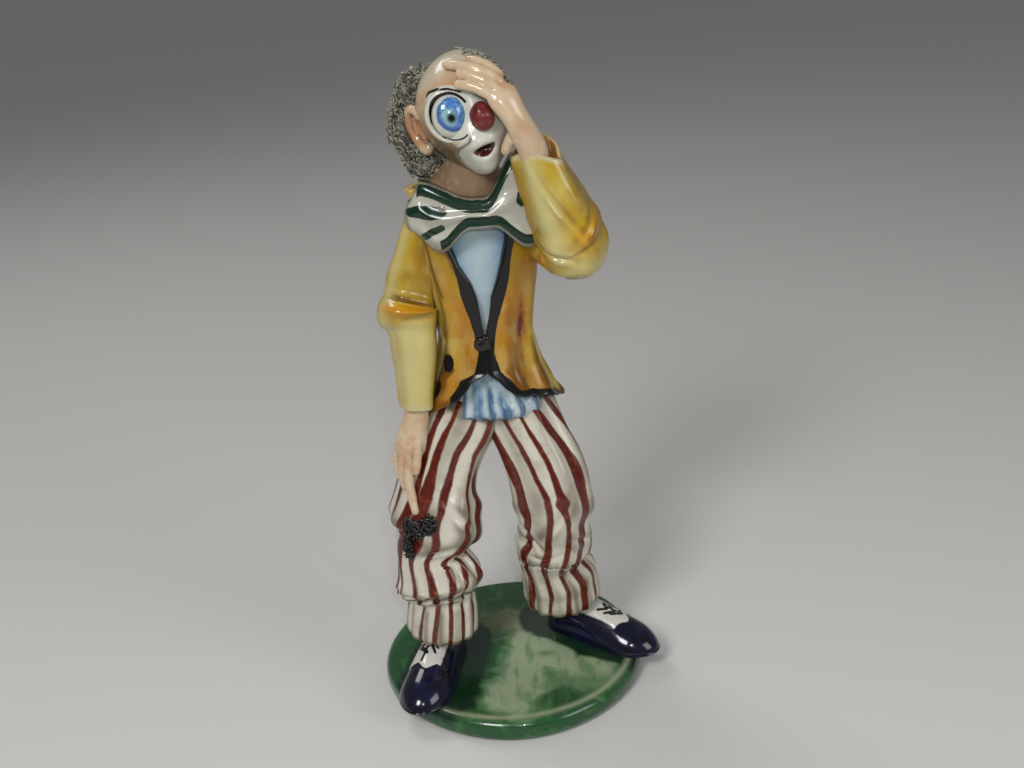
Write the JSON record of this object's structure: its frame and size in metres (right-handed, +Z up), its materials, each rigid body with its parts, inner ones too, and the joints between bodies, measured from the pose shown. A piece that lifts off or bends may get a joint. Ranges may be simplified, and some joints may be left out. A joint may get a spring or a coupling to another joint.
{
  "type": "clown figurine",
  "caption": "Glazed ceramic clown on a round base, one hand to the forehead and the other arm hanging, with a bow, open jacket and striped trousers.",
  "frame": {"origin": "middle of the flat underside of the base", "axes": "+Z up; the clown faces -Y, with the raised arm at +X"},
  "size_m": [0.1138, 0.1039, 0.2518],
  "materials": {
    "yellow_glaze": "glossy yellow glaze of the jacket and sleeves, ochre in the folds",
    "striped_glaze": "glossy off-white glaze with dark red-brown stripes on the trousers",
    "blue_glaze": "glossy pale blue glaze of the shirt",
    "flesh_glaze": "glossy flesh glaze of the head, ear and hands, with painted make-up",
    "hair_clay": "grey glazed strands of clay",
    "bow_glaze": "glossy white glaze with dark green stripes on the bow",
    "navy_glaze": "glossy violet-navy glaze of the shoes, with white uppers",
    "black_glaze": "glossy black glaze of the button and the knee tuft",
    "green_glaze": "glossy green glaze of the base, pale and marbled in front"
  },
  "bodies": {
    "root": {"clown_figurine": "yellow_glaze"}
  },
  "joints": []
}
